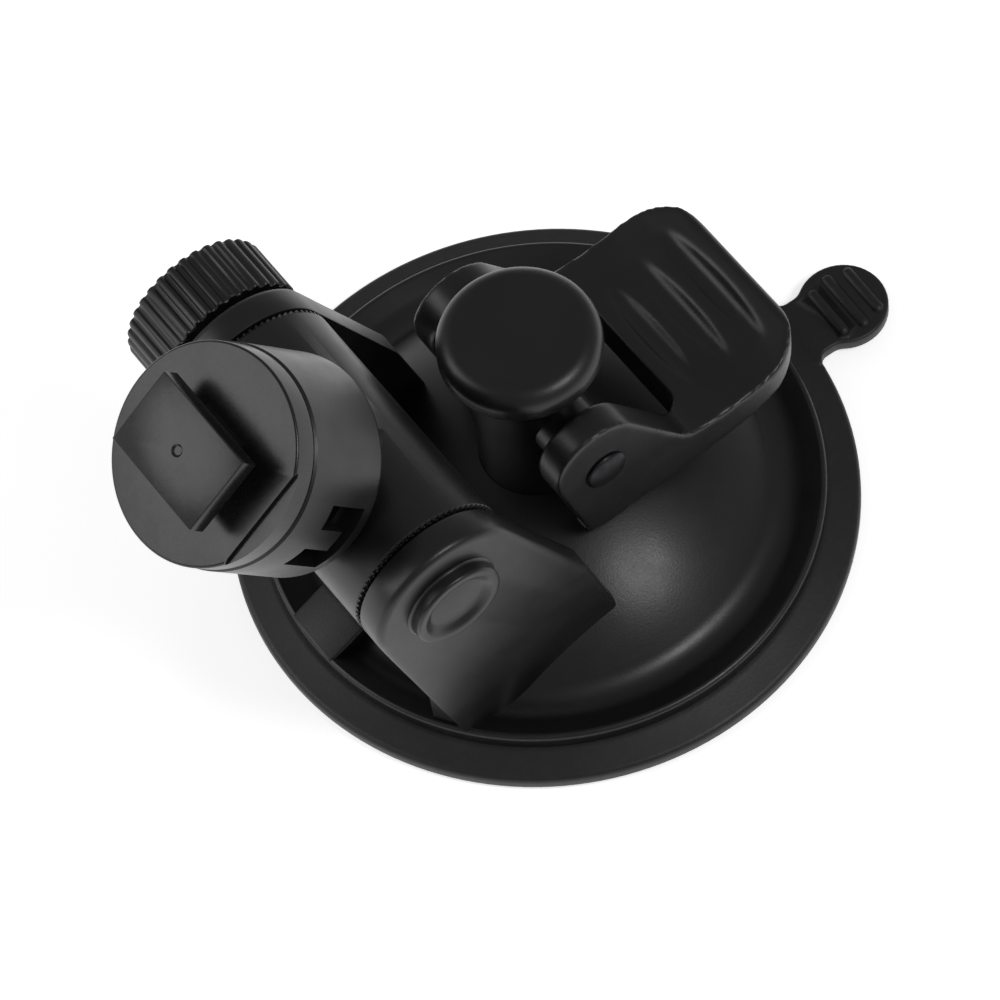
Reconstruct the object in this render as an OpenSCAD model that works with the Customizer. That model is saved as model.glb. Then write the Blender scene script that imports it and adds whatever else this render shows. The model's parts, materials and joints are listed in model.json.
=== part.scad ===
// Windscreen suction mount for a small camera: a lever-locked suction cup, a tilting
// swivel head clamped between two ears, and a turning T-shaped slide plate.
// +X runs from the cup's axis to its pull tab, +Y to the clamp knob, +Z away from the
// glass. The origin is on the cup's axis, in the plane of the glass.

/* [Suction cup] */
// Outer radius of the cup's rim
cup_r = 35; // [34.6:0.2:37]
// Height of the dish under the middle of the cup
dish_h = 2.2; // [1.5:0.1:2.6]
// Distance from the cup's axis to the centre of the pull tab's round end
tab_x = 40.9; // [40:0.5:46]
// Radius of the pull tab's round end
tab_r = 5.15; // [4.5:0.1:6]
// Turn of the pull tab away from the lever's plane
tab_turn = -2.3; // [-4:0.1:4]

/* [Cover] */
// Outer radius of the cover's flange
cover_r = 31.4; // [31:0.1:32]
// Height of the flange's ridge above the glass
ridge_z = 4.95; // [4.6:0.05:5.4]
// Height of the dome's crown above the glass
crown_z = 14.4; // [14:0.1:15]
// Spherical radius of the dome's outside
dome_r = 37.4; // [36:0.2:39]
// Wall thickness of the cover
wall = 2; // [1.6:0.1:2.2]

/* [Plunger] */
// Radius of the round post
post_r = 6.3; // [5.8:0.1:6.6]
// Radius of the cap on top of the post
cap_r = 8.9; // [8:0.1:9]
// Height of the cap's flat top above the glass
cap_z = 38; // [37:0.1:39]

/* [Lever] */
// Offset of the lever's pin from the post's axis
pin_x = 0.6; // [0.2:0.1:1]
// Height of the lever's pin above the glass
pin_z = 25.7; // [25.2:0.1:26]
// Radius of the lever's pin
pin_r = 1.6; // [1.2:0.1:1.8]
// Radius of the lever's eye round the pin
eye_r = 5.5; // [5.2:0.1:5.8]
// Half of the fork's inner width
fork_y = 9.3; // [9.3:0.1:9.6]
// Half of the lever's width, over the fork's arms and the thumb paddle
arm_y = 13; // [12.6:0.1:13.4]
// Distance from the cup's axis to the paddle's tip
paddle_x = 28.8; // [28:0.1:30]

/* [Swivel] */
// Radius of the swivel barrel and of the ears' round tops
barrel_r = 9.04; // [8.6:0.02:9.2]
// Distance from the cup's axis back to the swivel axis
barrel_back = 23.3; // [23:0.1:24]
// Height of the swivel axis above the glass
barrel_z = 34.5; // [34:0.1:36]
// Distance from the middle of the mount to each ear's inner face
ear_in = 15.5; // [15.5:0.1:16.5]
// Thickness of each ear
ear_t = 3.6; // [3.4:0.1:4.2]
// Number of teeth on each end of the barrel
tooth_count = 60; // [36:1:72]
// Lean of the head away from upright, towards the back
head_tilt = 35.7; // [20:0.1:50]
// Radius of the head's round cup
head_r = 11.7; // [11.4:0.1:12]
// Distance from the swivel axis to the seam under the turning disc
seam_h = 22; // [21.8:0.1:23]

/* [T plate] */
// Distance from the swivel axis to the disc's face
disc_h = 25.1; // [24.8:0.1:26]
// Width of the slide plate across the mount
plate_w = 13.8; // [12:0.1:15]
// Length of the slide plate along the slide
plate_l = 9.2; // [8:0.1:10]
// Thickness of the slide plate
plate_t = 2.3; // [1.6:0.1:2.6]
// Height of the neck between the disc and the slide plate
neck_h = 2.2; // [2:0.1:2.6]

/* [Clamp knob] */
// Radius of the knob over its ribs
knob_r = 8.73; // [8.4:0.05:9.5]
// Width of the knob along its axis
knob_w = 7.4; // [7:0.1:9]
// Number of ribs round the knob
rib_count = 34; // [24:1:44]
// Radius of the clamp bolt's shank
bolt_r = 2.5; // [2:0.1:3]
// Radius of the clamp bolt's round head
bolt_head_r = 5.25; // [4.6:0.05:5.8]

/* [Hidden] */
$fn = 96;
fit = 0.06;                    // radial clearance of a running fit
gap = 0.3;                     // clearance between parts that move past each other
far = 60;                      // longer than anything it cuts
soft = "#1b1b1d";
abs_black = "#262729";
steel = "#b9bcc0";

// Suction cup
rim_h = 2.2;                   // height of the rim's edge
seat_r = 27;                   // inner radius of the ring that seals on the glass
cup_top = 3;                   // height of the face that the cover sits on
web_top = 3.9;                 // top of the thin middle of the cup
boss_r = 12;
boss_top = 6;
tab_z = 0.5;                   // height of the tab above the glass
tab_t = 1.6;
tab_neck_w = 7.7;
tab_rib_w = 1.1;
tab_rib_h = 0.6;
tab_rib_pitch = 2.4;

// Cover
foot_r = 25.3;                 // radius where the dome runs out into the flange's trough
foot_a = asin(foot_r / dome_r); // slope of the dome there
trough_r = 3;                  // radius of the trough
trough_a = 15;                 // slope of the flange's rise to its ridge
seat_z = cup_top + 0.05;       // underside of the flange
inner_dome_r = dome_r - wall;
collar_r = post_r + 1.4;       // guide collar round the post, under the dome
collar_z = 10;
cavity_r = 23.4;
pad = [[-2, 9.6], [4.5, 11.6]]; // plan of the pads under the lever's cams
pad_z = 13.5;                  // top of those pads
stop_y = [-3, 4.4];            // sides of the ramp where the folded head comes to rest

// Plunger
insert_r = 10;
insert_t = 1.5;
insert_z = boss_top + 0.05;
post_z = insert_z + insert_t;
seat_t = 0.5;
wire_r = 0.4;
spring_r = 8.7;
spring_turns = 2.2;
spring_low = post_z + seat_t + wire_r + 0.05;
spring_high = inner_z(spring_r) - wire_r - 0.15;
cap_low = 34.1;
cap_edge = 2.2;                // radius of the cap's top edge
boss_y = fork_y - 1.1;         // the post's cross boss ends here on each side
cross_r = 3.6;
washer_t = 0.8;
screw_r = 2;
screw_head_r = 3.5;
screw_top = 18;

// Lever: an eye, a heel under it and a paddle, drawn in the XZ plane
eye = [pin_x - 0.6, pin_z + 2.1];
heel_r = 2.3;
heel = [pin_x - 0.9, pin_z - 9.2];
flank_span = norm(heel - eye);
flank_dir = atan2(heel[1] - eye[1], heel[0] - eye[0]) + 360;
flank_a = flank_dir - acos((eye_r - heel_r) / flank_span);
slope_a = 34;                  // where the slope down to the paddle leaves the eye
fork_x = 13.2;                 // closed end of the fork's slot
paddle_top = 20;
paddle_corner = 5;
groove_r = 1.6;
groove_half = 8;
groove_x = [16.3, 20.4, 24.5];
groove_z = [21.05, 21.35, 22.1];
pin_head_r = 2.5;
pin_head_t = 0.8;

// Swivel
axis_at = [-barrel_back, 0, barrel_z];
ear_out = ear_in + ear_t;
barrel_y = ear_in - gap;
tooth_depth = 0.35;
tooth_t = 0.4;
sleeve_r = 4;
head_low = 9.6;                // underside of the head's cup
floor_h = 12.4;
bore_r = 9.9;                  // inside of the head's cup
neck_r = 8.6;
ring_z = 17.5;                 // groove of the snap ring
ring_t = 1;
window_z = [11.5, 17.2];
window_a = [-113, -98, -85, -71];
tongue_z = 13.3;

// T plate
disc_r = 11.54;
spigot_r = 9;
spigot_z = 13.6;
flat_y = 9.7;                  // the disc's low segment starts at this distance
neck_w = 6;

// Knob
knob_y = ear_out + 0.8;
knob_end = knob_y + knob_w;
rib_h = 0.45;
nut_y = 21.6;
nut_af = 8;
nut_t = 4;
bolt_end = knob_end - 1;
bolt_head_t = 1.6;
bolt_rim = 0.85;               // width of the raised rim round the head's dished face
bolt_dish = 0.35;

// Height of the dome's outside and inside at radius r
function outer_z(r) = crown_z - dome_r + sqrt(dome_r * dome_r - r * r);
function inner_z(r) = crown_z - wall - inner_dome_r + sqrt(inner_dome_r * inner_dome_r - r * r);
// Points of an arc from angle a to angle b
function arc(c, r, a, b, n = 16) =
    [for (i = [0:n]) c + r * [cos(a + (b - a) * i / n), sin(a + (b - a) * i / n)]];
// Where the tangent from p touches a circle, on the side that sign names
function tangent(p, c, r, sign) =
    let (d = norm(p - c), a = atan2(p[1] - c[1], p[0] - c[0]) + sign * acos(r / d))
    c + r * [cos(a), sin(a)];

// A round bar along Y
module rod_y(r, from, to) {
    translate([0, from, 0]) rotate([-90, 0, 0]) cylinder(r = r, h = to - from);
}

// An XZ outline made into a plate between two values of Y
module slab_y(from, to) {
    translate([0, to, 0]) rotate([90, 0, 0]) linear_extrude(to - from) children();
}

// A flat ring
module ring(outer, inner, low, high) {
    translate([0, 0, low]) difference() {
        cylinder(r = outer, h = high - low);
        translate([0, 0, -1]) cylinder(r = inner, h = high - low + 2);
    }
}

// The head's own frame: +Z along the head, +Y across the mount
module at_head() {
    translate(axis_at) rotate([0, -head_tilt, 0]) children();
}

module suction_cup() color(soft) difference() {
    union() {
        rotate_extrude() polygon(concat(
            [for (i = [0:12]) [seat_r * i / 12, dish_h * (1 - pow(i / 12, 2))]],
            [[cup_r - 0.7, 0], [cup_r, 0.7], [cup_r, 1.5], [cup_r - 0.6, rim_h],
             [cover_r + 0.2, cup_top - 0.1], [cover_r, cup_top], [23, cup_top],
             [21, web_top], [boss_r + 0.2, web_top], [boss_r, boss_top], [0, boss_top]]));
        rotate(tab_turn) pull_tab();
    }
    translate([0, 0, web_top]) cylinder(r = screw_head_r + gap, h = far);
}

// The tab that lifts the rim off the glass, with three grip ribs
module pull_tab() {
    translate([0, 0, tab_z]) linear_extrude(tab_t) union() {
        translate([tab_x, 0]) circle(tab_r);
        translate([cup_r - 2, -tab_neck_w / 2]) square([tab_x - cup_r + 2, tab_neck_w]);
    }
    for (i = [-1:1]) tab_rib(tab_x + 0.4 + i * tab_rib_pitch, i == 0 ? 4.2 : 3.6);
}

// A grip rib across the pull tab
module tab_rib(x, half) {
    translate([x - tab_rib_w / 2, -half, tab_z + tab_t - 0.2])
        cube([tab_rib_w, 2 * half, tab_rib_h + 0.2]);
}

module base_cover() color(abs_black) difference() {
    union() {
        difference() {
            union() {
                shell();
                for (side = [-1, 1]) {
                    slab_y(min(side * ear_in, side * ear_out), max(side * ear_in, side * ear_out))
                        ear_outline();
                    cam_pad(side > 0 ? pad[0][1] : -pad[1][1]);
                }
                stop_pad();
            }
            rotate_extrude() polygon(concat([[0, 0], [cavity_r, 0]],
                [for (i = [12:-1:0]) [cavity_r * i / 12, inner_z(cavity_r * i / 12)]]));
        }
        ring(collar_r, post_r / 2, collar_z, inner_z(collar_r) + 0.6);
    }
    cylinder(r = post_r + fit, h = far);
    translate(axis_at) rod_y(bolt_r + fit, -far, far);
}

// A pad that one of the lever's cams presses on
module cam_pad(y) {
    translate([pad[0][0], y, seat_z])
        cube([pad[1][0] - pad[0][0], pad[1][1] - pad[0][1], pad_z - seat_z]);
}

// The dome and its flange, solid underneath
module shell() {
    trough = [foot_r, outer_z(foot_r)] + trough_r * [sin(foot_a), cos(foot_a)];
    rotate_extrude() polygon(concat(
        [[0, seat_z], [cover_r, seat_z], [cover_r, ridge_z - 0.6], [cover_r - 0.2, ridge_z - 0.15],
         [cover_r - 0.5, ridge_z], [cover_r - 1.1, ridge_z - 0.2]],
        arc(trough, trough_r, 270 + trough_a, 270 - foot_a, 10),
        [for (i = [15:-1:0]) [foot_r * i / 16, outer_z(foot_r * i / 16)]]));
}

// A ramp from the flange up to the dome, under the head when it is folded back
module stop_pad() intersection() {
    slab_y(stop_y[0], stop_y[1])
        polygon([[-31.2, seat_z], [-31.2, 4.9], [-30.6, 5], [-27, 6.8], [-22.5, 7.2],
                 [-22.5, seat_z]]);
    cylinder(r = cover_r - 0.2, h = far);
}

// Side outline of one ear: a round top and two flanks down to the flange
module ear_outline() {
    c = [axis_at[0], axis_at[2]];
    back_foot = [-24.4, seat_z + 0.4];
    front_foot = [-3.9, 10.6];
    front_mid = [-6.4, 20];
    translate(c) circle(barrel_r);
    polygon([tangent(back_foot, c, barrel_r, -1), back_foot, [front_foot[0], back_foot[1]],
             front_foot, front_mid, tangent(front_mid, c, barrel_r, 1)]);
}

module plunger_post() color(abs_black) difference() {
    union() {
        translate([0, 0, post_z]) cylinder(r = post_r, h = cap_low - post_z);
        translate([pin_x, 0, pin_z]) rod_y(cross_r, -boss_y, boss_y);
        translate([0, 0, cap_low]) cylinder(r = post_r - 2.3, h = 2);
    }
    translate([pin_x, 0, pin_z]) rod_y(pin_r, -far, far);
    cylinder(r = screw_r, h = screw_top);
}

module plunger_cap() color(abs_black) difference() {
    translate([0, 0, cap_low]) rotate_extrude() polygon(concat(
        [[0, 0], [cap_r - 0.8, 0]],
        arc([cap_r - 0.8, 0.8], 0.8, -90, 0, 4),
        arc([cap_r - cap_edge, cap_z - cap_low - cap_edge], cap_edge, 0, 90, 10),
        [[0, cap_z - cap_low]]));
    translate([0, 0, cap_low - 1]) cylinder(r = post_r - 2.3, h = 3);
}

module cup_insert() color(steel) ring(insert_r, screw_r + 0.2, insert_z, insert_z + insert_t);

module stem_screw() color(steel) difference() {
    union() {
        translate([0, 0, insert_z - 2]) cylinder(r = screw_head_r, h = 2);
        cylinder_between(screw_r, insert_z - 1, screw_top - 1);
    }
    translate([0, 0, insert_z - 3]) cylinder(r = 1.6, h = 2, $fn = 6);
}

// An upright cylinder between two heights
module cylinder_between(r, low, high) {
    translate([0, 0, low]) cylinder(r = r, h = high - low);
}

module spring_seat() color(steel) ring(insert_r, post_r + 0.1, post_z, post_z + seat_t);

// A coil of round wire, swept along a helix
module release_spring() color(steel) {
    steps = 48;
    sides = 8;
    rise = (spring_high - spring_low) / steps;
    points = [for (i = [0:steps]) let (a = 360 * spring_turns * i / steps)
        for (k = [0:sides - 1]) let (b = 360 * k / sides, r = spring_r + wire_r * cos(b))
            [r * cos(a), r * sin(a), spring_low + rise * i + wire_r * sin(b)]];
    walls = [for (i = [0:steps - 1]) for (k = [0:sides - 1]) let (n = (k + 1) % sides)
        [i * sides + k, (i + 1) * sides + k, (i + 1) * sides + n, i * sides + n]];
    polyhedron(points, concat(walls, [[for (k = [0:sides - 1]) k],
        [for (k = [sides - 1:-1:0]) steps * sides + k]]));
}

module cam_lever() color(abs_black) difference() {
    intersection() {
        slab_y(-arm_y, arm_y) lever_outline();
        linear_extrude(far) paddle_plan();
    }
    linear_extrude(far) fork_plan();
    translate([pin_x, 0, pin_z]) rod_y(pin_r + fit, -far, far);
    for (i = [0:2]) translate([groove_x[i], 0, groove_z[i]]) groove();
}

// Side outline of the lever
module lever_outline() {
    polygon(concat(
        arc(eye, eye_r, slope_a, flank_a, 32),
        arc(heel, heel_r, flank_a, 270, 8),
        [[11, 14.5], [20.5, 15.4], [26.8, 18.4]],
        arc([paddle_x - 1.2, 20.9], 1.2, -50, 90, 6),
        [[24, 20.9], [20, paddle_top + 0.1], [16.5, paddle_top - 0.1],
         [13, paddle_top + 0.1], [11.2, paddle_top + 0.9]]));
}

// Plan of the lever, with two round corners at the paddle's tip
module paddle_plan() {
    tip = paddle_x - paddle_corner;
    half = arm_y - paddle_corner;
    polygon(concat([[-far / 2, -arm_y]],
        arc([tip, -half], paddle_corner, -90, 0, 10),
        arc([tip, half], paddle_corner, 0, 90, 10),
        [[-far / 2, arm_y]]));
}

// Plan of the slot between the fork's arms
module fork_plan() {
    corner = 2;
    polygon(concat([[-far / 2, -fork_y]],
        arc([fork_x - corner, corner - fork_y], corner, -90, 0, 6),
        arc([fork_x - corner, fork_y - corner], corner, 0, 90, 6),
        [[-far / 2, fork_y]]));
}

// A round-ended grip groove across the paddle
module groove() {
    rod_y(groove_r, -groove_half, groove_half);
    for (side = [-1, 1]) translate([0, side * groove_half, 0]) sphere(groove_r, $fn = 24);
}

module lever_pin() color(steel) translate([pin_x, 0, pin_z]) {
    rod_y(pin_r, -arm_y - 0.3, arm_y + pin_head_t);
    rod_y(pin_head_r, -arm_y - 0.1 - pin_head_t, -arm_y - 0.1);
}

module pin_clip() color(steel) translate([pin_x, 0, pin_z]) difference() {
    rod_y(pin_head_r, arm_y + 0.1, arm_y + 0.1 + pin_head_t + 0.5);
    rod_y(pin_r, arm_y - 1, arm_y + pin_head_t);
}

module thrust_washers() color(steel) translate([pin_x, 0, pin_z])
    for (side = [-1, 1]) difference() {
        rod_y(cross_r, min(side * boss_y, side * (boss_y + washer_t)),
              max(side * boss_y, side * (boss_y + washer_t)));
        rod_y(pin_r, -far, far);
    }

module swivel_body() color(abs_black) difference() {
    union() {
        translate(axis_at) {
            rod_y(barrel_r, -barrel_y + tooth_t, barrel_y - tooth_t);
            slab_y(-barrel_y, barrel_y) tooth_outline();
        }
        at_head() {
            cylinder_between(neck_r, 0, head_low + 0.5);
            cylinder_between(head_r, head_low, seam_h);
        }
    }
    translate(axis_at) rod_y(sleeve_r + fit, -far, far);
    at_head() {
        cylinder_between(bore_r, floor_h, far);
        cylinder_between(bore_r + 0.6, ring_z - 0.1, ring_z + ring_t + 0.1);
        snap_window();
    }
}

// Star outline whose points are the teeth on the barrel's ends
module tooth_outline() {
    polygon([for (i = [0:2 * tooth_count - 1])
        let (a = 180 * i / tooth_count, r = barrel_r - 0.1 - (i % 2) * tooth_depth)
        r * [cos(a), sin(a)]]);
}

// Window in the head's wall, with a snap tongue left standing in its middle
module snap_window() {
    wedge(window_a[0], window_a[1], window_z[0], window_z[1]);
    wedge(window_a[1] - 1, window_a[2] + 1, window_z[0], tongue_z);
    wedge(window_a[2], window_a[3], window_z[0], window_z[1]);
}

// A cut through the head's wall between two angles and two heights
module wedge(from, to, low, high) {
    translate([0, 0, low]) linear_extrude(high - low)
        polygon(concat(arc([0, 0], bore_r - 0.4, from, to, 4), arc([0, 0], head_r + 1, to, from, 4)));
}

module pivot_sleeve() color(steel) translate(axis_at) difference() {
    rod_y(sleeve_r, -ear_in, ear_in);
    rod_y(bolt_r + fit, -far, far);
}

module clamp_bolt() color(steel) translate(axis_at) {
    rod_y(bolt_r, -ear_out - 0.1, bolt_end);
    difference() {
        rod_y(bolt_head_r, -ear_out - bolt_head_t, -ear_out - 0.05);
        rod_y(bolt_head_r - bolt_rim, -ear_out - bolt_head_t - 1, -ear_out - bolt_head_t + bolt_dish);
    }
}

module clamp_knob() color(abs_black) translate(axis_at) difference() {
    union() {
        rod_y(knob_r - rib_h, knob_y, knob_end);
        slab_y(knob_y + 0.5, knob_end - 0.8) rib_outline();
    }
    rod_y(bolt_r + 0.3, knob_y - 1, bolt_end + 0.3);
    rod_y(5.2, knob_y - 1, nut_y);
    slab_y(nut_y - 0.1, nut_y + nut_t) hexagon(nut_af / 2);
}

// Outline of the knob's ribs
module rib_outline() {
    polygon([for (i = [0:rib_count - 1]) for (k = [0:3])
        let (a = 360 * (i + [0, 0.3, 0.5, 0.8][k]) / rib_count,
             r = k < 2 ? knob_r : knob_r - rib_h - 0.1)
        r * [cos(a), sin(a)]]);
}

// A hexagon with the given distance from its middle to a side
module hexagon(half) {
    circle(half / cos(30), $fn = 6);
}

module knob_nut() color("#b08d4a") translate(axis_at) difference() {
    slab_y(nut_y, nut_y + nut_t - 0.05) hexagon(nut_af / 2 - 0.03);
    rod_y(bolt_r + fit, -far, far);
}

module knob_washer() color(steel) translate(axis_at) difference() {
    rod_y(5, ear_out + 0.05, nut_y - 0.1);
    rod_y(bolt_r + fit, -far, far);
}

module t_disc() color(abs_black) at_head() {
    difference() {
        cylinder_between(disc_r, seam_h + 0.15, disc_h);
        translate([-far / 2, -far - flat_y, disc_h - 0.5]) cube([far, far, 1]);
    }
    cylinder_between(spigot_r, ring_z + ring_t + 0.1, seam_h + 0.2);
    cylinder_between(spigot_r - 0.9, ring_z - 0.5, ring_z + ring_t + 0.2);
    cylinder_between(spigot_r, spigot_z, ring_z - 0.1);
    translate([-plate_l / 2 + 0.6, -neck_w / 2, disc_h - 0.1])
        cube([plate_l - 1.2, neck_w, neck_h + 0.2]);
    difference() {
        translate([-plate_l / 2, -plate_w / 2, disc_h + neck_h]) cube([plate_l, plate_w, plate_t]);
        translate([0, 0, disc_h + neck_h + plate_t]) cylinder(r = 0.7, h = 0.6, center = true);
    }
}

module friction_washer() color(steel) at_head() ring(8, 4, floor_h + 0.05, spigot_z - 0.3);

module snap_ring() color(steel) at_head() difference() {
    ring(bore_r + 0.4, spigot_r - 0.7, ring_z, ring_z + ring_t);
    translate([0, -2, ring_z - 1]) cube([far, 4, 3]);
}

suction_cup();
base_cover();
plunger_post();
plunger_cap();
cup_insert();
stem_screw();
spring_seat();
release_spring();
cam_lever();
lever_pin();
pin_clip();
thrust_washers();
swivel_body();
pivot_sleeve();
clamp_bolt();
clamp_knob();
knob_nut();
knob_washer();
t_disc();
friction_washer();
snap_ring();
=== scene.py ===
"""Looks of a windscreen suction mount: black mouldings, a soft cup, small steel parts,
a pale studio floor, its lights and the camera.

The makers' lists are in millimetres, and trace() turns them into metres. Sizes that the frame
already holds are read from its boxes and joints.
"""

import json
import math

import bmesh
import bpy
from mathutils import Matrix, Vector


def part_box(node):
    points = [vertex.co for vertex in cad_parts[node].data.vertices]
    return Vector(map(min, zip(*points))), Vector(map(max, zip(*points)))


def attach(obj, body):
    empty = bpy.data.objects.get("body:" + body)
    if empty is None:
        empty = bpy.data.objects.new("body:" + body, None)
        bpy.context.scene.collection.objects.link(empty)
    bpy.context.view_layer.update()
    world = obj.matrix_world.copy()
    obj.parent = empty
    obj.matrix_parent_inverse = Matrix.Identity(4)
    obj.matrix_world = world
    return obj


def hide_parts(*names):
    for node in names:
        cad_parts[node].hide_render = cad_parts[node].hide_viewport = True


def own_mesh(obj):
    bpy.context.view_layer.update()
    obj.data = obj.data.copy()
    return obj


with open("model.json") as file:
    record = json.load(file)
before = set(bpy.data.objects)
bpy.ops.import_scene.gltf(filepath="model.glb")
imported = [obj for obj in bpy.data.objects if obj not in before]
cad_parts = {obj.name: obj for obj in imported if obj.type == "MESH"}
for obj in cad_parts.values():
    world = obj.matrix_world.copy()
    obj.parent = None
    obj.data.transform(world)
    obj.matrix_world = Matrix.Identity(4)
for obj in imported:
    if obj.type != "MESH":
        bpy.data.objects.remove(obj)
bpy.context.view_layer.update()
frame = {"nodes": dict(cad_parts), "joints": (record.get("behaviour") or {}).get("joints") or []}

MM = 0.001
FINE = 1e-4                       # how near a place has to be to count as there, in mm
LEVEL = 0.002                     # the same for the corners of a face, in mm
DOUBLE = 2e-6                     # corners closer than this are one corner, in metres

# ---------------------------------------------------------------- sizes from the frame


def corners(node):
    """Lowest and highest corner of a node, in millimetres."""
    low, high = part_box(node)
    return low / MM, high / MM


joints = {joint["name"]: joint for joint in frame["joints"]}
swivel = Vector(joints["arm_tilt"]["pos_m"]) / MM
hinge = Vector(joints["lever_hinge"]["pos_m"]) / MM
head_way = Vector(joints["disc_spin"]["axis"])
head_tilt = math.atan2(-head_way.x, head_way.z)
disc_face = (Vector(joints["disc_spin"]["pos_m"]) / MM - swivel).length

_, cup_high = corners("suction_cup")
cover_low, cover_high = corners("base_cover")
post_low, post_high = corners("plunger_post")
cap_low, cap_high = corners("plunger_cap")
lever_low, lever_high = corners("cam_lever")
_, swivel_high = corners("swivel_body")
knob_low, knob_high = corners("clamp_knob")
bolt_low, bolt_high = corners("clamp_bolt")
pin_low, pin_high = corners("lever_pin")
washer_low, _ = corners("knob_washer")
_, sleeve_high = corners("pivot_sleeve")

gap = 0.05                        # left between pieces that lie on each other
slack = 0.06                      # round a bar in its bore
through = 30                      # half the length of a cutter that goes right through

cup_r = cup_high.y
cover_r = cover_high.y
post_r = (post_high.x - post_low.x) / 2
barrel_r = cover_high.z - swivel.z
ear_in = sleeve_high.y
ear_out = washer_low.y - gap
knob_r = (knob_high.x - knob_low.x) / 2
bolt_r, pin_r, sleeve_r = 2.5, 1.6, 4

# ---------------------------------------------------------------- modelling by hand


def arc(centre, radius, start, end, count=8):
    """Points of an arc between two angles in degrees."""
    return [(centre[0] + radius * math.cos(math.radians(start + (end - start) * i / count)),
             centre[1] + radius * math.sin(math.radians(start + (end - start) * i / count)))
            for i in range(count + 1)]


def tangent(point, centre, radius, side):
    """Angle in degrees where the tangent from a point touches a circle."""
    away = math.hypot(point[0] - centre[0], point[1] - centre[1])
    toward = math.atan2(point[1] - centre[1], point[0] - centre[0])
    return math.degrees(toward + side * math.acos(radius / away))


def nothing_selected():
    """Leaves edit mode and lets go of every object."""
    if bpy.context.object and bpy.context.object.mode == "EDIT":
        bpy.ops.object.mode_set(mode="OBJECT")
    bpy.ops.object.select_all(action="DESELECT")


def take(piece):
    """Selects one object alone and makes it the active one."""
    nothing_selected()
    piece.select_set(True)
    bpy.context.view_layer.objects.active = piece


def trace(points):
    """Draws a line of edges through points in millimetres, and leaves it in edit mode."""
    nothing_selected()
    places = [Vector(point) * MM for point in points]
    bpy.ops.mesh.primitive_plane_add(size=MM)
    bpy.ops.object.mode_set(mode="EDIT")
    bpy.ops.mesh.merge(type="CENTER")
    bpy.ops.transform.translate(value=places[0])
    for here, there in zip(places, places[1:]):
        bpy.ops.mesh.extrude_region_move(TRANSFORM_OT_translate={"value": there - here})
    bpy.ops.mesh.select_all(action="SELECT")


def close_up():
    """Merges doubles, turns all faces outwards and leaves edit mode."""
    bpy.ops.mesh.select_all(action="SELECT")
    bpy.ops.mesh.remove_doubles(threshold=DOUBLE)
    bpy.ops.mesh.normals_make_consistent(inside=False)
    bpy.ops.object.mode_set(mode="OBJECT")
    return bpy.context.object


def lathe(profile, steps=96):
    """Spins a profile of (radius, height) round the Z axis."""
    trace([(radius, 0, height) for radius, height in profile])
    bpy.ops.mesh.spin(steps=steps, angle=2 * math.pi, center=(0, 0, 0), axis=(0, 0, 1))
    return close_up()


def press(points, push):
    """A block: the face inside a closed line of points, pushed along a vector."""
    trace([*points, points[0]])
    bpy.ops.mesh.remove_doubles(threshold=DOUBLE)
    bpy.ops.mesh.select_all(action="SELECT")
    bpy.ops.mesh.edge_face_add()
    bpy.ops.mesh.extrude_region_move(TRANSFORM_OT_translate={"value": Vector(push) * MM})
    return close_up()


def slab(outline, low, high):
    """A block whose outline lies in XZ, between two values of Y."""
    return press([(x, low, z) for x, z in outline], (0, high - low, 0))


def plate(outline, low, high):
    """A block whose outline lies in XY, between two heights."""
    return press([(x, y, low) for x, y in outline], (0, 0, high - low))


def block(low, high):
    """A square block between two corners."""
    outline = [(low[0], low[1]), (high[0], low[1]), (high[0], high[1]), (low[0], high[1])]
    return plate(outline, low[2], high[2])


def settle(piece, matrix):
    """Moves a piece by a matrix, and puts its place in its mesh."""
    piece.matrix_world = matrix @ piece.matrix_world
    take(piece)
    bpy.ops.object.transform_apply(location=True, rotation=True, scale=True)
    return piece


def to_swivel(piece):
    """Turns a piece made round Z so that it lies along the swivel's axis."""
    return settle(piece, Matrix.Translation(swivel * MM) @ Matrix.Rotation(-math.pi / 2, 4, "X"))


def to_head(piece):
    """Leans a piece made upright at the origin into the head's place."""
    return settle(piece, Matrix.Translation(swivel * MM) @ Matrix.Rotation(-head_tilt, 4, "Y"))


def across(piece, x, z):
    """Turns a piece made round Z so that it lies along Y, through x and z."""
    return settle(piece, Matrix.Translation(Vector((x, 0, z)) * MM)
                  @ Matrix.Rotation(-math.pi / 2, 4, "X"))


def combine(piece, other, operation):
    """Works another piece into this one, and uses the other up."""
    modifier = piece.modifiers.new("combine", "BOOLEAN")
    modifier.operation = operation
    modifier.solver = "EXACT"
    modifier.object = other
    take(piece)
    bpy.ops.object.modifier_apply(modifier=modifier.name)
    bpy.data.objects.remove(other)
    return piece


def fuse(piece, *others):
    """Joins other pieces to this one."""
    for other in others:
        combine(piece, other, "UNION")
    return piece


def cut(piece, *others):
    """Takes other pieces away from this one."""
    for other in others:
        combine(piece, other, "DIFFERENCE")
    return piece


def soften(piece, width, over=34, segments=3):
    """Rounds every edge that turns by more than an angle in degrees."""
    modifier = piece.modifiers.new("soften", "BEVEL")
    modifier.width = width * MM
    modifier.segments = segments
    modifier.limit_method = "ANGLE"
    modifier.angle_limit = math.radians(over)
    modifier.miter_outer = "MITER_ARC"
    take(piece)
    bpy.ops.object.modifier_apply(modifier=modifier.name)
    return piece


def ease(piece, cell, passes):
    """Meshes a piece evenly and eases all its edges, as a polished mould gives them."""
    grid = piece.modifiers.new("grid", "REMESH")
    grid.mode = "VOXEL"
    grid.voxel_size = cell * MM
    smooth = piece.modifiers.new("smooth", "SMOOTH")
    smooth.iterations = passes
    take(piece)
    for modifier in (grid.name, smooth.name):
        bpy.ops.object.modifier_apply(modifier=modifier)
    return piece


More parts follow.
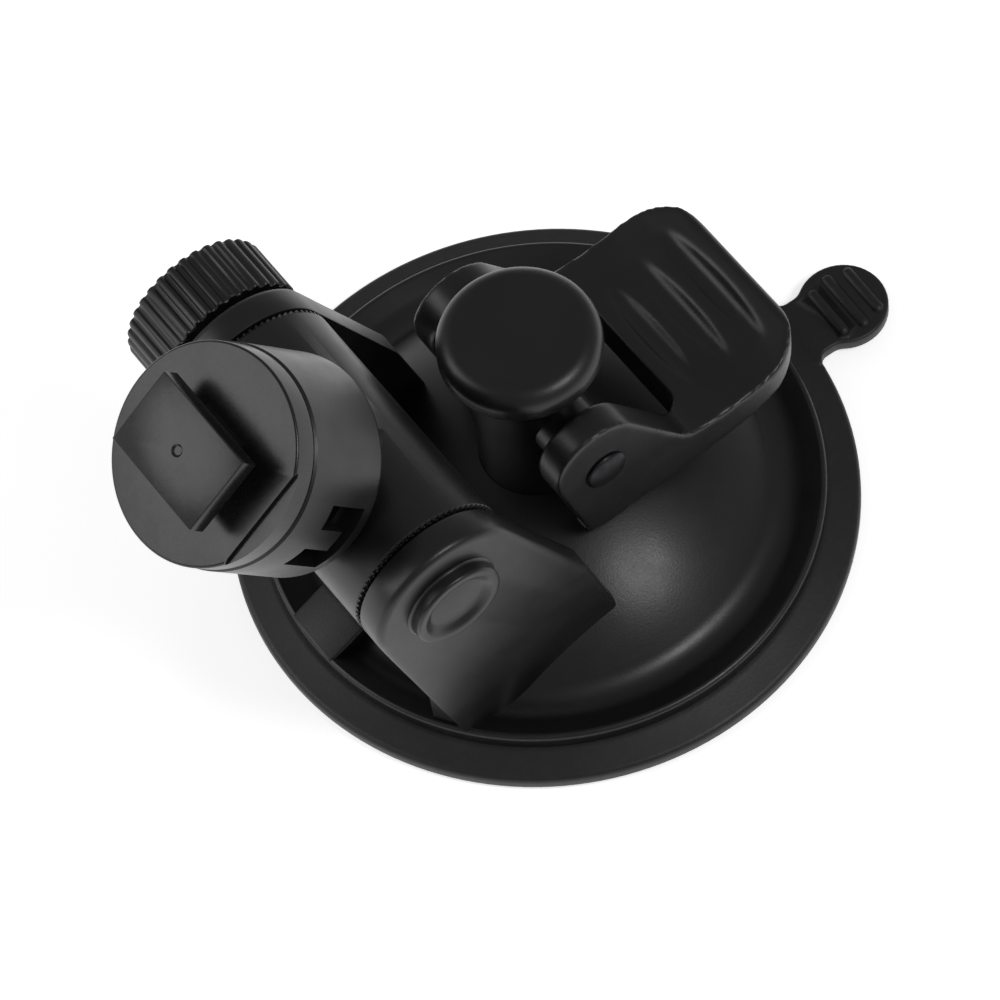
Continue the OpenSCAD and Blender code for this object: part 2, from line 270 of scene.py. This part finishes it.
def round_edges(piece, width, chosen, segments=4):
    """Rounds the edges whose two ends chosen() picks by their place in millimetres."""
    take(piece)
    bpy.ops.object.mode_set(mode="EDIT")
    bpy.ops.mesh.select_all(action="DESELECT")
    mesh = bmesh.from_edit_mesh(piece.data)
    for edge in mesh.edges:
        if all(chosen(end.co / MM) for end in edge.verts):
            edge.select = True
    bmesh.update_edit_mesh(piece.data)
    bpy.ops.mesh.bevel(offset=width * MM, segments=segments, affect="EDGES")
    bpy.ops.object.mode_set(mode="OBJECT")
    return piece


def capsule(radius, half):
    """A round bar with round ends, upright at the origin."""
    return lathe([*arc((0, -half), radius, -90, 0, 6), *arc((0, half), radius, 0, 90, 6)], 24)


def spindle(radius, half):
    """A long oval bar that thins to its ends, upright at the origin."""
    ends = [math.radians(a) for a in range(-90, 91, 10)]
    return lathe([(radius * math.cos(a), half * math.sin(a)) for a in ends], 24)


def rod(radius, low, high, steps=64):
    """A plain round bar along Z."""
    return lathe([(0, low), (radius, low), (radius, high), (0, high)], steps)


def hand_in(piece, name, body, finish, slot, *nodes):
    """Names a finished piece, shades it, and hangs it on its body in place of its nodes."""
    piece.name = piece.data.name = name
    take(piece)
    bpy.ops.object.shade_smooth_by_angle(angle=math.radians(32))
    piece.data.materials.clear()
    piece.data.materials.append(finish)
    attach(piece, body)
    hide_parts(*nodes)
    return piece


# ---------------------------------------------------------------- finishes


class Field:
    """A number or colour that changes over a surface, held in a node's output."""

    def __init__(self, finish, socket):
        self.finish = finish
        self.socket = socket

    def maths(self, operation, first, second):
        return self.finish.node("ShaderNodeMath", {"operation": operation}, {0: first, 1: second})

    def __add__(self, other):
        return self.maths("ADD", self, other)

    def __radd__(self, other):
        return self.maths("ADD", other, self)

    def __sub__(self, other):
        return self.maths("SUBTRACT", self, other)

    def __rsub__(self, other):
        return self.maths("SUBTRACT", other, self)

    def __mul__(self, other):
        return self.maths("MULTIPLY", self, other)

    def __rmul__(self, other):
        return self.maths("MULTIPLY", other, self)


class Finish:
    """A material under construction: one shader and the fields that feed it."""

    def __init__(self, name, **sockets):
        self.material = bpy.data.materials.new(name)
        self.material.use_nodes = True
        self.tree = self.material.node_tree
        self.shader = self.tree.nodes["Principled BSDF"]
        self.place = self.node("ShaderNodeTexCoord", output="Object")
        for socket, value in sockets.items():
            self.feed(socket.replace("_", " "), value)

    def node(self, kind, settings=None, sockets=None, output=0):
        """Adds a node: settings first, then the values or links of its sockets."""
        node = self.tree.nodes.new(kind)
        for setting, value in (settings or {}).items():
            setattr(node, setting, value)
        for socket, value in (sockets or {}).items():
            self.connect(node.inputs[socket], value)
        return Field(self, node.outputs[output])

    def connect(self, socket, value):
        if isinstance(value, Field):
            self.tree.links.new(value.socket, socket)
        else:
            socket.default_value = value

    def feed(self, socket, value):
        self.connect(self.shader.inputs[socket], value)

    def noise(self, size, detail=2.0, stretch=(1, 1, 1)):
        """Cloudy noise from 0 to 1 whose patches are about size millimetres across."""
        where = self.node("ShaderNodeMapping", {"vector_type": "POINT"},
                          {"Vector": self.place, "Scale": stretch})
        return self.node("ShaderNodeTexNoise", {},
                         {"Vector": where, "Scale": 1 / (size * MM), "Detail": detail}, "Fac")

    def limit(self, value, low, high, start=0.0, end=1.0):
        """start where value is low and below, end where it is high and above."""
        return self.node("ShaderNodeMapRange", {"clamp": True},
                         {"Value": value, "From Min": low, "From Max": high,
                          "To Min": start, "To Max": end})

    def colour(self, share, first, second):
        return self.node("ShaderNodeMix", {"data_type": "RGBA"},
                         {0: share, 6: (*first, 1), 7: (*second, 1)}, 2)

    def edges(self, radius):
        """1 along edges, 0 on open faces."""
        eased = self.node("ShaderNodeBevel", {"samples": 6}, {"Radius": radius * MM})
        facing = self.node("ShaderNodeNewGeometry", output="Normal")
        match = self.node("ShaderNodeVectorMath", {"operation": "DOT_PRODUCT"},
                          {0: eased, 1: facing}, "Value")
        return self.limit(match, 0.995, 0.86)

    def relief(self, height, depth):
        """A bump of the given depth in millimetres."""
        self.feed("Normal", self.node("ShaderNodeBump", {},
                                      {"Strength": 1.0, "Distance": depth * MM, "Height": height}))


def moulded(name, shade, tint, roughness, grain, grain_depth, wear):
    """Black moulded plastic: spark-eroded grain, faint flow marks, edges rubbed by hands."""
    finish = Finish(name)
    flow = finish.noise(9, 3, (1, 1, 2.5))
    fine = finish.noise(grain, 3)
    smear = finish.noise(3.2, 4)
    rubbed = finish.edges(0.35) * finish.limit(finish.noise(1.6, 4), 0.35, 0.7) * wear
    dust = finish.limit(finish.noise(0.5, 1), 0.74, 0.8) * 0.25
    worn = finish.colour(finish.limit(flow, 0.3, 0.7), shade, tint)
    pale = tuple(3.2 * part + 0.01 for part in tint)
    finish.feed("Base Color", finish.node(
        "ShaderNodeMix", {"data_type": "RGBA"},
        {0: finish.limit(rubbed + dust, 0, 1), 6: worn, 7: (*pale, 1)}, 2))
    finish.feed("Roughness", finish.limit(
        roughness + (flow - 0.5) * 0.1 + (smear - 0.5) * 0.12 + (fine - 0.5) * 0.08 - rubbed * 0.08,
        0.08, 0.9, 0.08, 0.9))
    finish.feed("IOR", 1.5)
    finish.relief(fine + flow * 0.6, grain_depth)
    return finish.material


def soft_vinyl():
    """Soft black vinyl of the cup: duller, with a bloom of dust."""
    finish = Finish("soft_vinyl")
    cloud = finish.noise(6, 4)
    fine = finish.noise(0.35, 3)
    bloom = finish.limit(finish.noise(1.1, 5), 0.45, 0.75) * 0.5
    finish.feed("Base Color", finish.colour(bloom, (0.0058, 0.0058, 0.006), (0.013, 0.013, 0.0134)))
    finish.feed("Roughness", finish.limit(0.47 + (cloud - 0.5) * 0.16 + (fine - 0.5) * 0.1,
                                          0.2, 0.9, 0.2, 0.9))
    finish.feed("IOR", 1.48)
    finish.relief(fine + cloud * 0.8, 0.012)
    return finish.material


def turned_metal(name, colour, dull, roughness):
    """Plated metal with fine turning marks and dull patches."""
    finish = Finish(name, Metallic=1.0)
    marks = finish.noise(0.25, 3, (1, 8, 1))
    patches = finish.limit(finish.noise(1.5, 4), 0.4, 0.7)
    finish.feed("Base Color", finish.colour(patches, colour, dull))
    finish.feed("Roughness", roughness + (marks - 0.5) * 0.16 + patches * 0.1)
    finish.relief(marks, 0.006)
    return finish.material


abs_satin = moulded("abs_satin", (0.0042, 0.0042, 0.0044), (0.0062, 0.0062, 0.0065),
                    roughness=0.36, grain=0.28, grain_depth=0.010, wear=0.4)
abs_smooth = moulded("abs_smooth", (0.0052, 0.005, 0.0058), (0.0075, 0.007, 0.0085),
                     roughness=0.27, grain=0.6, grain_depth=0.006, wear=0.35)
vinyl = soft_vinyl()
plated_steel = turned_metal("plated_steel", (0.55, 0.56, 0.58), (0.42, 0.42, 0.43), 0.3)
black_oxide = turned_metal("black_oxide", (0.035, 0.035, 0.038), (0.022, 0.022, 0.023), 0.36)
brass = turned_metal("brass", (0.62, 0.44, 0.2), (0.45, 0.32, 0.15), 0.32)

# ---------------------------------------------------------------- suction cup

seat_r = 27                       # inner radius of the ring that seals on the glass
split_r = 26.5                    # the dished middle is its own piece inside this radius
dish_h = 2.2
cup_top = cover_low.z - gap
tab_r = 5.15
tab_turn = math.radians(-2.3)     # of the pull tab, away from the lever's plane
tab_x = (cup_high.x - tab_r) / math.cos(tab_turn)
tab_low = 0.5
tab_high = 2.2


def underside(radius):
    """Height of the dish's underside."""
    return dish_h * (1 - (radius / seat_r) ** 2)


def tab_outline():
    """Plan of the pull tab: a neck that flares into the rim, and a round end."""
    neck = 3.85
    flare = 1.2
    bend = 2.0
    flare_x = math.sqrt((cup_r + flare) ** 2 - (neck + flare) ** 2)
    bend_x = tab_x - math.sqrt((tab_r + bend) ** 2 - (neck + bend) ** 2)
    meet = math.degrees(math.atan2(neck + bend, tab_x - bend_x))
    side = [(cup_r - 2.5, neck + flare + 0.3),
            *arc((flare_x, neck + flare), flare, -170, -90, 5),
            *arc((bend_x, neck + bend), bend, -90, -meet, 5),
            *arc((tab_x, 0), tab_r, 180 - meet, 0, 16)]
    return side + [(x, -y) for x, y in reversed(side[:-1])]


def make_rim():
    """The cup's outer ring with its sealing face, and the pull tab with three grip ribs."""
    rim = lathe([(split_r, underside(split_r)), (seat_r, 0), (cup_r - 0.8, 0),
                 *arc((cup_r - 0.8, 0.8), 0.8, -75, 0, 4),
                 *arc((cup_r - 0.75, 1.45), 0.75, 0, 78, 5),
                 (cover_r + 0.5, cup_top - 0.15), (cover_r + 0.15, cup_top),
                 (split_r, cup_top), (split_r, underside(split_r))], 160)
    tab = soften(plate(tab_outline(), tab_low, tab_high), 0.6, 40, 4)
    ribs = [across(capsule(0.8, half - 0.8), tab_x + 0.4 + offset, tab_high - 0.35)
            for offset, half in ((-2.4, 3.6), (0, 4.2), (2.4, 3.6))]
    fuse(rim, settle(fuse(tab, *ribs), Matrix.Rotation(tab_turn, 4, "Z")))
    return hand_in(rim, "cup_rim", "base", vinyl, "soft_pvc", "suction_cup")


def make_membrane():
    """The dished middle of the cup, which the plunger squashes in the real mount; here it is drawn
    at rest, with a mesh of its own.
    """
    screw_room = 3.8
    web = 3.9
    under = [(split_r * i / 14, underside(split_r * i / 14)) for i in range(15)]
    membrane = lathe([*under, (split_r, cup_top), (23, cup_top), (21, web), (12.5, web),
                      (12, web + 0.5), *arc((11.5, 5.5), 0.5, 0, 90, 3), (screw_room, 6),
                      (screw_room, web), (0, web)], 96)
    hand_in(membrane, "cup_membrane", "base", vinyl, "soft_pvc", "suction_cup")
    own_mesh(membrane)


# ---------------------------------------------------------------- cover

crown_z = 14.4
dome_r = 37.4
wall = 2
foot_r = 24.8                     # where the dome runs out into the flange's trough
ridge_z = 4.95
flank_foot = cover_low.z + 0.4    # where the ears' flanks end, inside the flange


def dome_z(radius, inset=0.0):
    """Height of the dome, or of its inside, at a radius."""
    ball = dome_r - inset
    return crown_z - inset - ball + math.sqrt(ball * ball - radius * radius)


def ear_outline():
    """Side view of an ear: a round top and two flanks down into the flange."""
    centre = (swivel.x, swivel.z)
    back_foot = (-24.4, flank_foot)
    front_mid = (-6.4, 20)
    front_foot = (-3.9, 10.6)
    back = tangent(back_foot, centre, barrel_r, -1)
    front = tangent(front_mid, centre, barrel_r, 1)
    return [back_foot, (front_foot[0], back_foot[1]), front_foot, front_mid,
            *arc(centre, barrel_r, front, back + 360, 40)]


def shell_profile():
    """Section of the flange with its ridge and trough, and of the dome."""
    floor = cover_low.z
    slope = math.asin(foot_r / dome_r)
    trough_r, bead = 4, 0.55
    trough = (foot_r + trough_r * math.sin(slope), dome_z(foot_r) + trough_r * math.cos(slope))
    return [(0, floor), (cover_r - 0.1, floor), (cover_r, floor + 0.1),
            *arc((cover_r - bead, ridge_z - bead), bead, 0, 112, 8),
            *arc(trough, trough_r, 291, 270 - math.degrees(slope), 16),
            *[(foot_r * i / 24, dome_z(foot_r * i / 24)) for i in range(23, -1, -1)]]


def make_ear(side):
    """One of the two ears, with its outer edge rounded more than its inner one."""
    outer_round, inner_round = 0.85, 0.25
    foot_back, foot_front, foot_top, foot_reach = -26.45, -20, 11.2, 30.6
    inner, outer = side * ear_in, side * ear_out
    ear = slab(ear_outline(), min(inner, outer), max(inner, outer))
    round_edges(ear, outer_round, lambda place: abs(place.y - outer) < FINE
                and not abs(place.z - flank_foot) < FINE, 5)
    round_edges(ear, inner_round, lambda place: abs(place.y - inner) < FINE, 2)
    foot = block((foot_back, min(inner, outer), cover_low.z + 0.2),
                 (foot_front, max(inner, outer), foot_top))
    return fuse(ear, combine(foot, rod(foot_reach, 0, 20, 160), "INTERSECT"))


def make_ramp():
    """The ramp under the folded head, from the flange up to the dome."""
    low, near_y, far_y = cover_low.z + 0.2, -3, 4.4
    outline = [(-31.3, low), (-31.3, 4.9), (-30.6, 5.05), (-27, 6.8), (-24.8, 7.15), (-22.5, 7.2),
               (-22.5, low)]
    ramp = soften(slab(outline, near_y, far_y), 0.35, 50)
    return combine(ramp, rod(cover_r - 0.15, 0, 20, 160), "INTERSECT")


def make_cover():
    """The hard dome with its ears, cam pads and ramp, hollow below, with the post's guide."""
    floor = cover_low.z
    pad_y, pad_half, pad_back, pad_front, pad_top = 10.6, 1, -2, 4.5, 13.5
    shell = lathe(shell_profile(), 160)
    cam_pads = [soften(block((pad_back, side * pad_y - pad_half, floor + 0.2),
                             (pad_front, side * pad_y + pad_half, pad_top)), 0.4)
                for side in (-1, 1)]
    fuse(shell, make_ear(-1), make_ear(1), *cam_pads, make_ramp())
    cavity_r = 23.4
    hollow = lathe([(0, 0), (cavity_r, 0),
                    *[(cavity_r * i / 16, dome_z(cavity_r * i / 16, wall))
                      for i in range(16, -1, -1)]], 96)
    guide_r = post_r + 1.4
    collar = rod(guide_r, 10, dome_z(guide_r, wall) + 0.6, 96)
    bore = rod(post_r + slack, 8, 20, 96)
    cut(shell, hollow)
    cut(fuse(shell, collar), bore)
    cut(shell, to_swivel(rod(bolt_r + slack, -through, through)))
    return hand_in(shell, "base_cover_shell", "base", abs_satin, "black_abs", "base_cover")


# ---------------------------------------------------------------- plunger


def make_cap():
    """The mushroom cap on the post, very slightly dished on top."""
    low, high = cap_low.z, cap_high.z
    edge = cap_high.y
    socket_r = post_r - 2.3
    cap = lathe([(0, low + 2), (socket_r, low + 2), (socket_r, low), (edge - 0.8, low),
                 *arc((edge - 0.8, low + 0.8), 0.8, -90, 0, 6),
                 *arc((edge - 2.2, high - 2.2), 2.2, 0, 82, 12),
                 (edge - 3.4, high - 0.02), (3, high - 0.06), (0, high - 0.07)], 128)
    return hand_in(cap, "plunger_cap_top", "plunger", abs_satin, "black_abs", "plunger_cap")


# ---------------------------------------------------------------- lever


def lever_outline():
    """Side view of the lever: an eye round the pin, a cam heel under it and the paddle."""
    eye, eye_r = (hinge.x - 0.6, hinge.z + 2.1), 5.5
    heel, heel_r = (hinge.x - 0.9, hinge.z - 9.2), 2.3
    away = math.hypot(heel[0] - eye[0], heel[1] - eye[1])
    down = math.degrees(math.atan2(heel[1] - eye[1], heel[0] - eye[0])) + 360
    flank = down - math.degrees(math.acos((eye_r - heel_r) / away))
    tip = lever_high.x
    return [*arc(eye, eye_r, 34, flank, 36), *arc(heel, heel_r, flank, 270, 10),
            (6, 14.3), (11, 14.5), (16, 14.85), (20.5, 15.5), (23.8, 16.7), (26.8, 18.45),
            *arc((tip - 1.2, 20.9), 1.2, -50, 80, 6),
            (24, 20.95), (20, 20.15), (16.5, 19.95), (13.6, 20.1), (12, 20.45), (10.9, 21.3),
            (9.6, 23.2)]


def lever_plan():
    """Plan of the whole lever: two arms with the slot between them, then the paddle."""
    back = lever_low.x - 1
    fork = 9.3
    slot_end, slot_corner = 13.2, 2.4
    tip, half, corner = lever_high.x, lever_high.y, 6.5
    side = [(back, fork), (back, half), *arc((tip - corner, half - corner), corner, 90, 0, 12)]
    slot = arc((slot_end - slot_corner, fork - slot_corner), slot_corner, 0, 90, 8)
    return side + [(x, -y) for x, y in reversed(side)] + [(x, -y) for x, y in reversed(slot)] + slot


def make_lever():
    """The cam lever: side view and plan crossed, three grooves, and eased edges."""
    lever = slab(lever_outline(), lever_low.y - 1, lever_high.y + 1)
    combine(lever, plate(lever_plan(), 5, 45), "INTERSECT")
    groove_r, groove_half = 1.75, 10.6
    for x, z in ((16.3, 21.05), (20.4, 21.3), (24.5, 22.05)):
        cut(lever, across(spindle(groove_r, groove_half), x, z))
    ease(lever, 0.25, 18)
    cut(lever, across(rod(pin_r + slack, -through, through, 32), hinge.x, hinge.z))
    return hand_in(lever, "cam_lever_body", "lever", abs_satin, "black_abs", "cam_lever")


def make_pin():
    """The lever's pin, with a domed head on the near side."""
    head_r, rise, head_t = 2.5, 0.7, 0.8
    low = pin_low.y
    dome = [(head_r * math.sin(math.radians(a)), low + rise * (1 - math.cos(math.radians(a))))
            for a in range(0, 91, 10)]
    pin = lathe([*dome, (head_r, low + head_t), (pin_r, low + head_t), (pin_r, pin_high.y - 0.2),
                 (pin_r - 0.2, pin_high.y), (0, pin_high.y)], 48)
    return hand_in(across(pin, hinge.x, hinge.z), "lever_pin_domed", "plunger", black_oxide,
                   "steel", "lever_pin")


# ---------------------------------------------------------------- swivel

tooth_count = 72
tooth_length = 0.25
seam_h = 22                       # height over the swivel's axis where head and disc meet


def tooth_ring(low, high):
    """A ring of face teeth on the barrel's end."""
    root, top = barrel_r - 0.38, barrel_r - 0.02
    turn = 360 / tooth_count
    outline = []
    for i in range(tooth_count):
        for share, radius in ((0.15, top), (0.4, top), (0.65, root), (0.9, root)):
            angle = math.radians((i + share) * turn)
            outline.append((radius * math.cos(angle), radius * math.sin(angle)))
    return plate(outline, low, high)


def wedge(start, end, low, high):
    """A cutter through the head's wall between two angles and two heights."""
    return plate([*arc((0, 0), 9.4, start, end, 4), *arc((0, 0), 12.6, end, start, 4)], low, high)


def make_swivel():
    """The toothed barrel and, standing on it, the head's round cup with its snap windows."""
    end = swivel_high.y
    body_end = end - tooth_length
    barrel = lathe([(0, -body_end), (barrel_r - 0.15, -body_end), (barrel_r, -body_end + 0.15),
                    (barrel_r, body_end - 0.15), (barrel_r - 0.15, body_end), (0, body_end)], 128)
    fuse(barrel, tooth_ring(-end, -body_end + 0.1), tooth_ring(body_end - 0.1, end))
    to_swivel(barrel)
    head_r, head_low = 11.7, 9.6
    floor_h, bore_r = 12.4, 9.9
    cup = lathe([(0, 0.5), (8.6, 0.5), (8.6, head_low - 0.2), (head_r - 0.9, head_low),
                 *arc((head_r - 0.9, head_low + 0.9), 0.9, -80, 0, 5),
                 (head_r, seam_h - 0.25), (head_r - 0.25, seam_h), (bore_r, seam_h),
                 (bore_r, floor_h), (0, floor_h)], 128)
    window_low, window_high, tongue = 11.5, 17.2, 13.3
    cut(cup, wedge(-113, -98, window_low, window_high), wedge(-99, -84, window_low, tongue),
        wedge(-85, -71, window_low, window_high))
    fuse(barrel, to_head(cup))
    cut(barrel, to_swivel(rod(sleeve_r + slack, -through, through)))
    return hand_in(barrel, "swivel_head", "arm", abs_satin, "black_abs", "swivel_body")


# ---------------------------------------------------------------- turning disc


def make_disc():
    """The turning disc with one flat, and the slide plate on its neck."""
    disc_r, flat_y = 11.54, 9.7
    neck_h, neck_half, plate_t, dimple = 2.2, 3, 2.3, 0.22
    low = seam_h + 0.15
    disc = lathe([(0, 13.6), (9, 13.6), (9, 17.4), (8.1, 17.4), (8.1, 18.6), (9, 18.6), (9, low),
                  (disc_r - 0.15, low), (disc_r, low + 0.15), (disc_r, disc_face - 0.3),
                  *arc((disc_r - 0.3, disc_face - 0.3), 0.3, 15, 90, 4), (0, disc_face)], 160)
    cut(disc, block((-20, -20, disc_face - 0.5), (20, -flat_y, disc_face + 1)))
    half_l, half_w = 4.6, 6.9
    base, top = disc_face + neck_h, disc_face + neck_h + plate_t
    neck = block((-half_l + 0.6, -neck_half, disc_face - 0.3),
                 (half_l - 0.6, neck_half, base + 0.3))
    slide = soften(block((-half_l, -half_w, base), (half_l, half_w, top)), 0.18, 40, 2)
    cut(slide, lathe([(0, top - dimple), (0.45, top - dimple), (0.7, top), (0.7, top + 1),
                      (0, top + 1)], 32))
    fuse(disc, fuse(slide, neck))
    return hand_in(to_head(disc), "turning_disc", "disc", abs_smooth, "black_abs_gloss", "t_disc")


# ---------------------------------------------------------------- clamp bolt and knob


def make_bolt():
    """The clamp bolt: a round head with a shallow dished face, standing on the near ear."""
    face, back = bolt_low.y, -ear_out - gap
    head_r, rim, dish, slope = 5.25, 0.85, 0.75, 1.3
    head = lathe([(0, back), (head_r + 0.3, back), *arc((head_r + 0.3, back - 0.3), 0.3, 90, 180, 4),
                  *arc((head_r - 0.4, face + 0.4), 0.4, 0, -90, 6),
                  *[(head_r - rim - slope * i / 8,
                     face + dish * (1 - math.cos(math.pi * i / 8)) / 2) for i in range(9)],
                  (0, face + dish)], 96)
    fuse(head, rod(bolt_r, back - 0.6, bolt_high.y))
    return hand_in(to_swivel(head), "clamp_bolt_round", "base", abs_satin, "black_abs", "clamp_bolt")


def make_knob():
    """The ribbed clamp knob: a solid shape, with the nut and the bolt's end buried in it."""
    ribs = 34
    low, high = knob_low.y, knob_high.y
    rib_h, rounding, chamfer = 0.36, 0.55, 0.15
    outline = []
    for i in range(ribs):
        for share, height in ((0, 0), (0.12, 0.75), (0.25, 1), (0.45, 1), (0.58, 0.75),
                              (0.7, 0), (0.85, -0.12)):
            angle = 2 * math.pi * (i + share) / ribs
            radius = knob_r - rib_h * (1 - height)
            outline.append((radius * math.cos(angle), radius * math.sin(angle)))
    knob = plate(outline, low + chamfer, high - rounding)
    take(knob)
    bpy.ops.object.mode_set(mode="EDIT")
    for level, moves in ((high - rounding, ((0.35, 0.985), (0.2, 0.95))),
                         (low + chamfer, ((-chamfer, 0.985),))):
        select_level(knob, level)
        for rise, shrink in moves:
            bpy.ops.mesh.extrude_region_move(TRANSFORM_OT_translate={"value": (0, 0, rise * MM)})
            bpy.ops.transform.resize(value=(shrink, shrink, 1), center_override=(0, 0, 0))
    close_up()
    return hand_in(to_swivel(knob), "clamp_knob_body", "knob", abs_satin, "black_abs", "clamp_knob")


def select_level(piece, level):
    """In edit mode, selects the faces that lie at a height."""
    bpy.ops.mesh.select_all(action="DESELECT")
    bpy.ops.mesh.select_mode(type="FACE")
    mesh = bmesh.from_edit_mesh(piece.data)
    for face in mesh.faces:
        if all(abs(corner.co.z / MM - level) < LEVEL for corner in face.verts):
            face.select = True
    bmesh.update_edit_mesh(piece.data)


# ---------------------------------------------------------------- small parts kept as they are


def dress(finish, *nodes):
    """Gives carried-over parts their finish."""
    for name in nodes:
        mesh = frame["nodes"][name].data
        mesh.materials.clear()
        mesh.materials.append(finish)


# ---------------------------------------------------------------- floor, light and camera


def direction(azimuth, elevation):
    """The way from the object to a lamp or a camera, from two angles in degrees."""
    a, e = math.radians(azimuth), math.radians(elevation)
    return Vector((math.cos(a) * math.cos(e), math.sin(a) * math.cos(e), math.sin(e)))


def make_floor():
    """A pale sheet just under the cup, which glows a little so that it stays white."""
    nothing_selected()
    bpy.ops.mesh.primitive_plane_add(size=6, location=(0, 0, -gap * MM))
    floor = bpy.context.object
    floor.name = "studio_floor"
    paper = Finish("pale_paper", Roughness=0.9)
    paper.feed("Base Color", (0.93, 0.93, 0.93, 1))
    paper.feed("Emission Color", (1, 1, 1, 1))
    paper.feed("Emission Strength", 0.6)
    floor.data.materials.append(paper.material)


def make_lamp(name, azimuth, elevation, distance, size, power):
    """A round soft light that faces the object: metres and watts."""
    lamp = bpy.data.objects.new(name, bpy.data.lights.new(name, "AREA"))
    lamp.data.shape = "DISK"
    lamp.data.size = size
    lamp.data.energy = power
    bpy.context.scene.collection.objects.link(lamp)
    way = direction(azimuth, elevation)
    lamp.location = way * distance
    lamp.rotation_euler = way.to_track_quat("Z", "Y").to_euler()


def make_surround():
    """A white room whose ceiling is darker than its walls."""
    strength = 0.37
    wall, middle_height, ceiling = (1, 1, 1, 1), (0.75, 0.75, 0.77, 1), (0.7, 0.7, 0.71, 1)
    world = bpy.data.worlds.new("studio")
    bpy.context.scene.world = world
    world.use_nodes = True
    tree = world.node_tree
    coordinates = tree.nodes.new("ShaderNodeTexCoord")
    split = tree.nodes.new("ShaderNodeSeparateXYZ")
    ramp = tree.nodes.new("ShaderNodeValToRGB")
    stops = ramp.color_ramp.elements
    stops[0].position, stops[0].color = 0.0, wall
    stops[1].position, stops[1].color = 1.0, ceiling
    middle = stops.new(0.5)
    middle.color = middle_height
    tree.links.new(coordinates.outputs["Generated"], split.inputs[0])
    tree.links.new(split.outputs["Z"], ramp.inputs[0])
    tree.links.new(ramp.outputs[0], tree.nodes["Background"].inputs[0])
    tree.nodes["Background"].inputs[1].default_value = strength


def make_camera():
    """A long lens from above the near side, aimed close to the cup's middle and rolled a little."""
    lens, distance = 194.34, 0.6
    way = direction(-118.07, 60.79)
    aim = Vector((-3.53, 3.77, 0)) * MM
    camera = bpy.data.objects.new("camera", bpy.data.cameras.new("camera"))
    bpy.context.scene.collection.objects.link(camera)
    camera.data.lens = lens
    camera.data.clip_start, camera.data.clip_end = 0.05, 20
    roll = Matrix.Rotation(math.radians(-9.98), 4, "Z")
    turn = way.to_track_quat("Z", "Y").to_matrix().to_4x4()
    camera.matrix_world = Matrix.Translation(aim + way * distance) @ turn @ roll
    bpy.context.scene.camera = camera


make_camera()
make_floor()
make_surround()
make_lamp("key_light", -63, 54, 0.55, 0.16, 0.72)
make_lamp("back_fill", 150, 36, 0.7, 0.5, 1.35)
bpy.context.scene.view_settings.view_transform = "Standard"

make_rim()
make_membrane()
make_cover()
make_cap()
make_lever()
make_pin()
make_swivel()
make_disc()
make_bolt()
make_knob()
dress(abs_satin, "plunger_post")
dress(plated_steel, "cup_insert", "stem_screw", "spring_seat", "release_spring", "thrust_washers",
      "pivot_sleeve", "knob_washer", "friction_washer", "snap_ring")
dress(black_oxide, "pin_clip")
dress(brass, "knob_nut")
